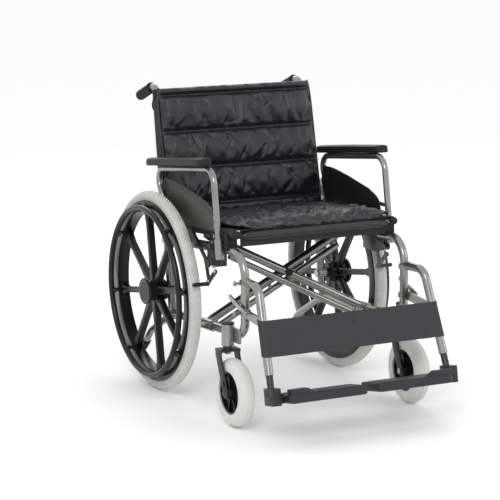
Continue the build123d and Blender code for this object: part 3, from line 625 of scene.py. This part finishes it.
# ---- Push grips, tipping levers and seat tube ends ----------------------------------------------
# Ribbed black rubber sleeves pushed on the handles, a rubber cap on each tipping lever and a round
# black plug in the front of each seat tube. A webbing loop hangs on each cane under its bend.
handle_end, handle_top = at(-248, -248, 873), at(-248, -131, 917)
grip_run = (handle_top - handle_end).normalized()
ribs = [(0.0, -0.005), (0.0125, -0.005), (0.0155, -0.002)]
for k in range(16):
    z = 0.0005 + 0.0050 * k
    ribs += [(0.0160, z), (0.0160, z + 0.0032), (0.0144, z + 0.0038), (0.0144, z + 0.0046)]
ribs += [(0.0160, 0.082), (0.0172, 0.084), (0.0172, 0.091), (0.0158, 0.094), (0.0112, 0.094)]
hands(turned("grip", ribs, facing(handle_end, grip_run), 40), "ribbed_grip", "frame", rubber_black, ["push_grip"])
dress_pair(rubber_black, "tip_cap")
ball = [(0.0, 0.0118)] + [(0.0118 * math.sin(math.radians(a)), 0.0118 * math.cos(math.radians(a)))
                          for a in range(12, 150, 12)] + [(0.0108, -0.012), (0.0108, -0.018), (0.0, -0.018)]
for side, sign, body in (("right", -1, "brace_front"), ("left", 1, "brace_rear")):
    knob = turned("plug", ball, facing(at(sign * 257, 452, 547), (0, -1, 0.095)), 32)
    fit(knob, f"{side}_seat_tube_plug", body, satin_black, slot="black_plastic")
cane_bend = at(-248.6, -121, 880)
loop_points = [cane_bend + Vector(v) for v in ((0.0, -0.0125, 0.018), (-0.010, -0.010, 0.006), (-0.0145, 0.002, -0.014),
               (-0.011, 0.010, -0.034), (-0.002, 0.006, -0.046), (0.006, -0.004, -0.034), (0.011, -0.010, -0.010),
               (0.008, -0.013, 0.010))]
hands(rod("loop", loop_points, 0.0028), "cane_loop", "frame", satin_black, slot="nylon")
collar = turned("collar", [(0.0114, -0.007), (0.0140, -0.006), (0.0140, 0.006), (0.0114, 0.007), (0.0114, -0.007)],
                facing(at(-248.4, -125, 896), (0, 0.24, 1)), 32)
hands(collar, "cane_ring", "frame", satin_black, slot="black_plastic")

# ---- Cross brace fittings -----------------------------------------------------------------------
# A black band on the rear arm's tube, where it shows between the rails, is painted shade and a painted
# dark reflection of the seat above it; a black cap covers the bolt at the crossing.
dress(satin_black, "pivot_bolt")
half_arm, lean_arm = 0.262 / math.cos(math.radians(27)), math.radians(27)
tilt = math.atan2(31.4, 498.0)
fold_axis = Vector((0, -math.cos(tilt), math.sin(tilt)))
fold_up = Vector((0, math.sin(tilt), math.cos(tilt)))
crossing = at(0, 259, 232 + 31.4 * 249 / 498) + fold_up * (0.262 * math.tan(lean_arm))


def arm_spot(side, reach, drop, fore):
    """A point on a brace arm: along it from the crossing, below it and forward."""
    lean = Vector((-side * math.cos(lean_arm), 0, 0)) + fold_up * math.sin(lean_arm)
    below = Vector((-side * math.sin(lean_arm), 0, 0)) - fold_up * math.cos(lean_arm)
    return crossing + lean * reach + below * drop + fold_axis * fore


# A black tube laid over the silver arm: painted shade and dark reflection from the seat, not a real sleeve.
shade_band = rod("shade_band", [arm_spot(-1, -half_arm + 0.022, 0, -0.0135), arm_spot(-1, half_arm - 0.04, 0, -0.0135)],
             0.0131, smooth=False)
fit(shade_band, "rear_arm_painted_shade", "brace_rear", black_steel, slot="black_metal")

# ---- Footplates and leg tubes -------------------------------------------------------------------
# A black tube slides in each hanger and carries a moulded block. The footplate hinges on it: a dark
# grey-violet plastic shelf, stiffened by a raised gusset at the hinge and by ribs underneath.
plate_grey = coated("footplate_plastic", (0.020, 0.019, 0.025), 0.42, vary=0.12, grain=380, bump=0.12, shine=0.35)
plate_lean = math.radians(11)
plate_up = Vector((0, math.sin(plate_lean), math.cos(plate_lean)))
plate_fore = Vector((0, -math.cos(plate_lean), math.sin(plate_lean)))
plate_hinge = at(-244, 728, 129)


def plate_spot(along, fore, up):
    """A point on the right footplate, in mm: inwards from its hinge, forwards, and above the hinge."""
    return plate_hinge + (Vector((along, 0, 0)) + plate_fore * fore + plate_up * up) / 1000


def plate_block(name, outline, fore, thick, ease):
    """A moulded block of an (along, up) outline that stands across the footplate."""
    rim = len(outline)
    points = [plate_spot(a, fore + depth, u) for depth in (0, thick) for a, u in outline]
    faces = [list(range(rim)), [rim + k for k in reversed(range(rim))]]
    faces += [(k, (k + 1) % rim, rim + (k + 1) % rim, rim + k) for k in range(rim)]
    made = piece_from(name, points, faces)
    soft = made.modifiers.new("ease", "BEVEL")
    soft.width, soft.segments, soft.limit_method = ease, 3, "NONE"
    baked(made)
    tidy_mesh(made, 40)
    return made


hands(eased("right_footplate", 0.0020, 3), "footplate_shell", "foot", plate_grey, ["footplate"])
gusset = plate_block("gusset", [(-15, 14), (-15, 32), (38, 32), (66, 14)], 36, 30, 0.0025)
hands(gusset, "footplate_gusset", "foot", plate_grey, slot="footplate_plastic")
toe_strip = plate_block("toe_strip", [(60, 14), (60, 19), (222, 19), (222, 14)], 58, 7, 0.0018)
hands(toe_strip, "footplate_lip", "foot", plate_grey, slot="footplate_plastic")
for half in hands(eased("right_leg_tube", 0.0014, 2), "leg_post", "leg", black_steel, ["leg_tube"]):
    half.data.materials.append(plate_grey)
    for face in half.data.polygons:
        if (face.center - plate_hinge).dot(plate_up) < 0.0362:
            face.material_index = 1
boss_marks = [(plate_spot(-54.8, 4, 8), OUT, UP), (plate_spot(-54.8, -14, 22), OUT, UP)]
bosses = studs("foot_bosses", boss_marks, 20, 0.0090, 0.0078, 0.0022, plate_grey)
hands(bosses, "foot_bosses", "leg", plate_grey, slot="footplate_plastic")

# ---- Fabric, and the calf strap -----------------------------------------------------------------
# Woven nylon, charcoal with a blue cast and a soft sheen. A band of it joins the two leg rests: each
# half is wrapped round its hanger tube, hemmed along both edges, and they meet at the middle.
def woven(name, colour, rough, sheen, crease):
    """Plain-weave nylon: crossed threads and small creases under the sheen, with painted shade and light: the
    tone darkens in the creases' hollows and lightens on their crests.
    """
    material, tree, shader = new_material(name)
    link = tree.links.new
    place = tree.nodes.new("ShaderNodeTexCoord")
    threads = []
    for run in ((3900.0, 0.0, 0.0), (0.0, 2800.0, 2800.0)):
        count = tree.nodes.new("ShaderNodeVectorMath")
        count.operation = "DOT_PRODUCT"
        count.inputs[1].default_value = run
        link(place.outputs["Object"], count.inputs[0])
        wave = tree.nodes.new("ShaderNodeMath")
        wave.operation = "SINE"
        link(count.outputs["Value"], wave.inputs[0])
        threads.append(wave)
    cross = tree.nodes.new("ShaderNodeMath")
    cross.operation = "MULTIPLY"
    link(threads[0].outputs[0], cross.inputs[0])
    link(threads[1].outputs[0], cross.inputs[1])
    weave = tree.nodes.new("ShaderNodeBump")
    weave.inputs["Strength"].default_value = 0.5
    weave.inputs["Distance"].default_value = 0.00012
    link(cross.outputs[0], weave.inputs["Height"])
    folds = tree.nodes.new("ShaderNodeTexNoise")
    folds.inputs["Scale"].default_value = 34.0
    folds.inputs["Detail"].default_value = 4.0
    folds.inputs["Distortion"].default_value = 1.4
    link(place.outputs["Object"], folds.inputs["Vector"])
    creases = tree.nodes.new("ShaderNodeBump")
    creases.inputs["Strength"].default_value = 1.0
    creases.inputs["Distance"].default_value = crease
    link(folds.outputs["Fac"], creases.inputs["Height"])
    link(weave.outputs["Normal"], creases.inputs["Normal"])
    link(creases.outputs["Normal"], shader.inputs["Normal"])
    # The tone follows the crease height: painted shade in the hollows of the creases and painted light on their crests.
    tone = tree.nodes.new("ShaderNodeValToRGB")
    tone.color_ramp.elements[0].position = 0.32
    tone.color_ramp.elements[1].position = 0.70
    tone.color_ramp.elements[0].color = tuple(c * 0.78 for c in colour) + (1,)
    tone.color_ramp.elements[1].color = tuple(c * 1.22 for c in colour) + (1,)
    link(folds.outputs["Fac"], tone.inputs["Fac"])
    link(tone.outputs["Color"], shader.inputs["Base Color"])
    gloss = tree.nodes.new("ShaderNodeMapRange")
    gloss.inputs["To Min"].default_value = rough * 0.85
    gloss.inputs["To Max"].default_value = min(1.0, rough * 1.2)
    link(folds.outputs["Fac"], gloss.inputs["Value"])
    link(gloss.outputs["Result"], shader.inputs["Roughness"])
    shader.inputs["Sheen Weight"].default_value = sheen
    shader.inputs["Sheen Roughness"].default_value = 0.4
    return material


def fold_flat(side_x, *pieces):
    """Gives each fabric piece a mesh of its own; side_x is not used."""
    for made in pieces:
        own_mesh(made)


def grid_faces(rows, wide):
    """The faces of a sheet of so many rows, its points given row by row, so many to a row."""
    return [(r * wide + k, r * wide + k + 1, (r + 1) * wide + k + 1, (r + 1) * wide + k)
            for r in range(rows) for k in range(wide - 1)]


def thicken(sheet, thick):
    """Gives a sheet its cloth's thickness, half to each side."""
    wall = sheet.modifiers.new("wall", "SOLIDIFY")
    wall.thickness, wall.offset = thick, 0.0
    baked(sheet)
    tidy_mesh(sheet, 50)


strap_cloth = woven("strap_nylon", (0.016, 0.0155, 0.019), 0.60, 0.05, 0.0006)
strap_rows, strap_points = 22, []
for row in range(strap_rows + 1):
    part = row / strap_rows
    z = 245 + 96 * part
    tube_x, tube_fore = -283 + (z - 195) * 0.0563, 699 - (z - 195) * 0.4026
    hem = 0.5 if part < 0.10 or part > 0.90 else 0.0
    line = []
    for k in range(41):
        x = -0.4 + (tube_x + 0.4) * k / 40
        free = min(1.0, (40 - k) / 6)
        wave = 1.5 * math.sin(x / 13 + part * 2.2) * math.exp(-((x + 255) / 30) ** 2)
        wave += 1.3 * noise.noise(Vector((x * 0.022 + 4, part * 2.2, 0.3))) + 0.8 * math.exp(-((x + 72) / 5) ** 2)
        line.append((x, tube_fore + 14.2 + hem + wave * free))
    for k in range(1, 17):
        turn = math.pi / 2 + math.pi * k / 16
        line.append((tube_x + (14.2 + hem) * math.cos(turn), tube_fore + (14.2 + hem) * math.sin(turn)))
    line.append((tube_x + 5, tube_fore - 14.2 - hem))
    strap_points += [at(x, ahead, z) for x, ahead in line]
strap = piece_from("strap", strap_points, grid_faces(strap_rows, len(line)))
thicken(strap, 0.0014)
for half, side_x in zip(hands(strap, "calf_band", "legrest", strap_cloth, ["calf_strap"]), (-0.283, 0.283)):
    fold_flat(side_x, half)

# ---- Back cushion -------------------------------------------------------------------------------
# A padded nylon back, sewn across into deep channels and bound with black piping at both sides. The
# loose cover creases from seam to seam, and a thin padded roll finishes the top.
def pillow(name, place, wide, tall, thick, seams, swell, creases, seed, pucker=0.0, droop=0.0):
    """A stuffed cover on a flat back, sewn down along seams (heights from its middle), blown up by a
    cloth simulation between its sewn lines, subdivided once, and then creased from seam to seam."""
    across, up = round(wide / 0.0075), round(tall / 0.0075)
    lines = sorted([-tall / 2, *seams, tall / 2])
    rim = thick * 0.42
    points, faces, held = [], [], []
    for face in (0, 1):
        for j in range(up + 1):
            v = -tall / 2 + tall * j / up
            near = min(abs(v - s) for s in seams) if seams else 1.0
            below = max([s for s in lines if s <= v + 1e-9])
            above = min([s for s in lines if s > v + 1e-9], default=lines[-1])
            span = max(above - below, 1e-6)
            hump = math.sin(math.pi * min(1, max(0, (v - below) / span))) ** 0.45 if seams else 1.0
            for i in range(across + 1):
                u = -wide / 2 + wide * i / across
                side = max(0.0, 1 - abs(2 * u / wide) ** 8) ** 0.4 * max(0.0, 1 - abs(2 * v / tall) ** 10) ** 0.4
                if face == 0:
                    w = rim - (rim - 0.002) * side
                else:
                    w = rim + (thick - 0.006 - rim) * side * (0.10 + 0.90 * hump if seams else 1.0)
                    w += 0.0022 * side * noise.noise(Vector((u * 30, v * 30, seed)))
                pull = 0.002 * (1 - abs(2 * v / tall) ** 4) * (2 * u / wide) ** 5
                points.append(Vector((u - pull, v, w)))
                edge = i in (0, across) or j in (0, up)
                held.append(edge or face == 0 or near < 0.0038)
        base = face * (across + 1) * (up + 1)
        for j in range(up):
            for i in range(across):
                a = base + j * (across + 1) + i
                faces.append((a, a + 1, a + across + 2, a + across + 1))
    made = piece_from(name, points, faces)
    start = [vertex.co.copy() for vertex in made.data.vertices]
    keep = []
    key = {tuple(round(c, 5) for c in p): h for p, h in zip(points, held)}
    for k, spot in enumerate(start):
        if key.get(tuple(round(c, 5) for c in spot), True):
            keep.append(k)
    pins = made.vertex_groups.new(name="sewn")
    pins.add(keep, 1.0, "REPLACE")
    cloth = made.modifiers.new("cloth", "CLOTH")
    rules = cloth.settings
    rules.quality, rules.mass = 5, 0.2
    rules.tension_stiffness = rules.compression_stiffness = 12.0
    rules.shear_stiffness, rules.bending_stiffness = 4.0, 0.08
    rules.use_pressure, rules.uniform_pressure_force = True, 4.0
    rules.shrink_min = -swell
    rules.vertex_group_mass = "sewn"
    rules.effector_weights.gravity = 0.0
    cloth.point_cache.frame_start, cloth.point_cache.frame_end = 1, 20
    for step in range(1, 21):
        scene.frame_set(step)
    view = bpy.context.evaluated_depsgraph_get()
    puffed = made.evaluated_get(view).to_mesh()
    spots = [vertex.co.copy() for vertex in puffed.vertices]
    made.evaluated_get(view).to_mesh_clear()
    made.modifiers.clear()
    made.vertex_groups.clear()
    scene.frame_set(1)
    for vertex, old, new in zip(made.data.vertices, start, spots):
        move = new - old
        if move.length > 0.011:
            move *= 0.011 / move.length
        vertex.co = old + move
    finer = made.modifiers.new("finer", "SUBSURF")
    finer.levels = finer.render_levels = 1
    baked(made)
    flat = np.empty(len(made.data.vertices) * 3)
    made.data.vertices.foreach_get("co", flat)
    flat = flat.reshape(-1, 3)
    draw = random.Random(seed)
    crest = np.percentile(flat[:, 2], 97)
    if crest > thick:
        flat[:, 2] = np.where(flat[:, 2] > rim, rim + (flat[:, 2] - rim) * (thick - rim) / (crest - rim), flat[:, 2])
    front = np.clip((flat[:, 2] - rim) / (thick * 0.25), 0, 1)
    inside = np.clip((wide / 2 - np.abs(flat[:, 0])) / 0.02, 0, 1)
    inside *= np.clip((tall / 2 - np.abs(flat[:, 1])) / 0.012, 0, 1)
    for low, high in zip(lines[:-1], lines[1:]):
        if high - low < 0.05:
            continue
        for _ in range(creases):
            from_top = draw.random() < 0.5
            x0 = draw.uniform(-wide / 2 + 0.02, wide / 2 - 0.02)
            y0 = high - 0.004 if from_top else low + 0.004
            if not seams:
                y0 = low + (high - low) * draw.random() ** 1.8
            reach = draw.uniform(0.35, 0.95) * min(high - low, 0.105)
            lean = draw.uniform(-0.8, 0.8) * (1.0 if seams else 1.6)
            run = np.array([math.sin(lean), -math.cos(lean) if from_top else math.cos(lean)])
            off = flat[:, :2] - np.array([x0, y0])
            along = off @ run
            bend = draw.uniform(-0.9, 0.9)
            away = off @ np.array([-run[1], run[0]]) + bend * along ** 2 / max(reach, 0.02) * 0.25
            fade = np.clip(along / 0.010, 0, 1) * np.clip((reach - along) / (reach * 0.6), 0, 1)
            width, depth = draw.uniform(0.0035, 0.0070), draw.uniform(0.0030, 0.0062) * (1.0 if seams else 1.5)
            shape = -np.exp(-(away / width) ** 2) + 0.55 * np.exp(-((away - 2.1 * width) / (1.5 * width)) ** 2)
            flat[:, 2] += depth * shape * fade * front * inside
    for seam in seams:
        press = np.exp(-((flat[:, 1] - seam) / 0.0060) ** 2) * inside * (front > 0)
        flat[:, 2] -= (flat[:, 2] - rim * 0.85) * press * 0.9
    if pucker:
        toe = np.clip((flat[:, 1] + tall / 2) / 0.055, 0, 1)
        ruffle = np.array([noise.noise(Vector((x * 60, 0.7, seed))) + 0.5 * noise.noise(Vector((x * 150, 2.0, seed)))
                           for x in flat[:, 0]])
        flat[:, 2] += pucker * ruffle * (1 - toe) * np.clip(flat[:, 2] / thick, 0.25, 1)
        flat[:, 1] += pucker * 0.8 * ruffle * (1 - toe) ** 2
    flat[:, 2] = np.clip(flat[:, 2], 0.0006, thick + 0.006)
    near_front = np.clip((flat[:, 1] + tall / 2) / 0.05, 0, 1)
    flat[:, 2] -= droop * (1 - near_front) ** 2 * np.clip((0.236 - np.abs(flat[:, 0])) / 0.03, 0, 1)
    made.data.vertices.foreach_set("co", flat.ravel())
    made.data.transform(place)
    made.data.update()
    tidy_mesh(made, 180.0)
    return made


quilted = woven("quilted_nylon", (0.0085, 0.0085, 0.0125), 0.33, 0.04, 0.0016)
piping_black = coated("piping_black", (0.012, 0.012, 0.014), 0.55, vary=0.2, grain=700, bump=0.10)
back_lean = math.radians(13.45)
back_up = Vector((0, math.sin(back_lean), math.cos(back_lean)))
back_out = Vector((0, -math.cos(back_lean), math.sin(back_lean)))
back_middle = at(0, -40.8, 540) + back_out * 0.0155 + back_up * 0.1729
BACK = Matrix.Translation(back_middle) @ Matrix(((1, 0, 0), back_up, back_out)).transposed().to_4x4()
back_pad = pillow("back_pad", BACK, 0.528, 0.403, 0.043, (0.1755, 0.0635, -0.0485, -0.1605), 0.06, 19, 5)
fit(back_pad, "back_pad", "right_frame", quilted, ["back_cushion"])
piping = [(-0.256, 0.2000), (-0.2635, 0.190), (-0.2630, 0.0), (-0.2635, -0.190), (-0.256, -0.2000)]
back_piping = []
for side, turn in zip(SIDES, (1, -1)):
    back_piping.append(rod("piping", [BACK @ Vector((turn * x, y, 0.0180)) for x, y in piping], 0.0032))
    fit(back_piping[-1], f"back_piping_{side}", "right_frame", piping_black, slot="nylon")
fold_flat(-0.262, back_pad, *back_piping)
cane_low, cane_high = Vector((-262, -45.5, 565)), Vector((-248, -131, 917))
sheath_run = [at(*cane_low.lerp(cane_high, share)) for share in (0.03, 0.25, 0.5, 0.75, 0.955)]
hands(rod("sheath", sheath_run, 0.0128), "cane_sheath", "frame", piping_black, slot="nylon")

# ---- Seat sling ---------------------------------------------------------------------------------
# A sheet of the same nylon, wrapped round both seat tubes and sagging a little between them. Its
# front edge is a padded roll, and a plain black valance hangs under it.
seat_lean = math.radians(5.42)
seat_back = Vector((0, math.cos(seat_lean), -math.sin(seat_lean)))
seat_up = Vector((0, math.sin(seat_lean), math.cos(seat_lean)))
seat_middle = at(0, 241, 527.1)
SEAT = Matrix.Translation(seat_middle) @ Matrix(((1, 0, 0), seat_back, seat_up)).transposed().to_4x4()
sling_cloth = woven("sling_nylon", (0.006, 0.006, 0.007), 0.62, 0.02, 0.0006)
section = []
for k in range(15):
    turn = math.radians(300 - 210 * k / 14)
    section.append((-0.257 + 0.0125 * math.cos(turn), 0.0125 * math.sin(turn)))
section += [(x / 1000, 0.0125 - 0.003 * math.cos(math.pi * x / 514)) for x in range(-244, 1, 12)]
section += [(-x, z) for x, z in reversed(section[:-1])]
sling_rows = 26
sling_points = [SEAT @ Vector((x, -0.204 + 0.410 * row / sling_rows, z))
                for row in range(sling_rows + 1) for x, z in section]
sling = piece_from("sling", sling_points, grid_faces(sling_rows, len(section)))
thicken(sling, 0.0016)
fit(sling, "sling_sheet", "seat", sling_cloth, ["seat_sling"])
roll_rings, roll_points, roll_faces = 100, [], []
for k in range(roll_rings + 1):
    x = -0.243 + 0.486 * k / roll_rings
    fat = 0.0125 * (1 - abs(x / 0.2436) ** 14) ** 0.5 + 0.0008 * noise.noise(Vector((x * 55, 1.3, 0)))
    for n in range(20):
        turn = 2 * math.pi * n / 20
        ripple = 1 + 0.06 * noise.noise(Vector((x * 90, math.cos(turn) * 1.5, math.sin(turn) * 1.5)))
        roll_points.append(at(x * 1000, 443, 541) + Vector((0, math.cos(turn), math.sin(turn))) * fat * ripple)
    if k:
        a, b = (k - 1) * 20, k * 20
        roll_faces += [(a + n, a + (n + 1) % 20, b + (n + 1) % 20, b + n) for n in range(20)]
roll_faces += [list(range(20)), [roll_rings * 20 + n for n in range(20)]]
front_roll = piece_from("roll", roll_points, roll_faces)
fit(front_roll, "sling_front_roll", "seat", quilted, slot="nylon")
valance_points = [at(-240 + 480 * k / 60, 432 + 1.5 * noise.noise(Vector((k * 0.35, j * 0.3, 2.0))), 556 - 4.0 * j)
                  for j in range(13) for k in range(61)]
valance = piece_from("valance", valance_points, grid_faces(12, 61))
thicken(valance, 0.0012)
fit(valance, "sling_valance", "seat", sling_cloth, slot="nylon")

# ---- Seat cushion -------------------------------------------------------------------------------
# A flat, loosely filled nylon cushion that lies on the sling. Its front edge is gathered into small
# puckers over the roll, and it ties to the frame at its front corners.
CUSHION = SEAT @ Matrix.Translation((0, 0.0135, 0.0150))
seat_pad = pillow("seat_pad", CUSHION, 0.510, 0.441, 0.025, (), 0.06, 130, 9, 0.0065, 0.014)
fit(seat_pad, "seat_pad", "seat", quilted, ["seat_cushion"])
fold_flat(-0.262, sling, front_roll, valance, seat_pad)

# ---- Size ---------------------------------------------------------------------------------------
# The chair's box as the frame gives it and as it now looks, as plain numbers, lowest corner first.
boxes = {"cad": cad_box, "visual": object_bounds()}
{name: [list(map(float, corner)) for corner in box] for name, box in boxes.items()}
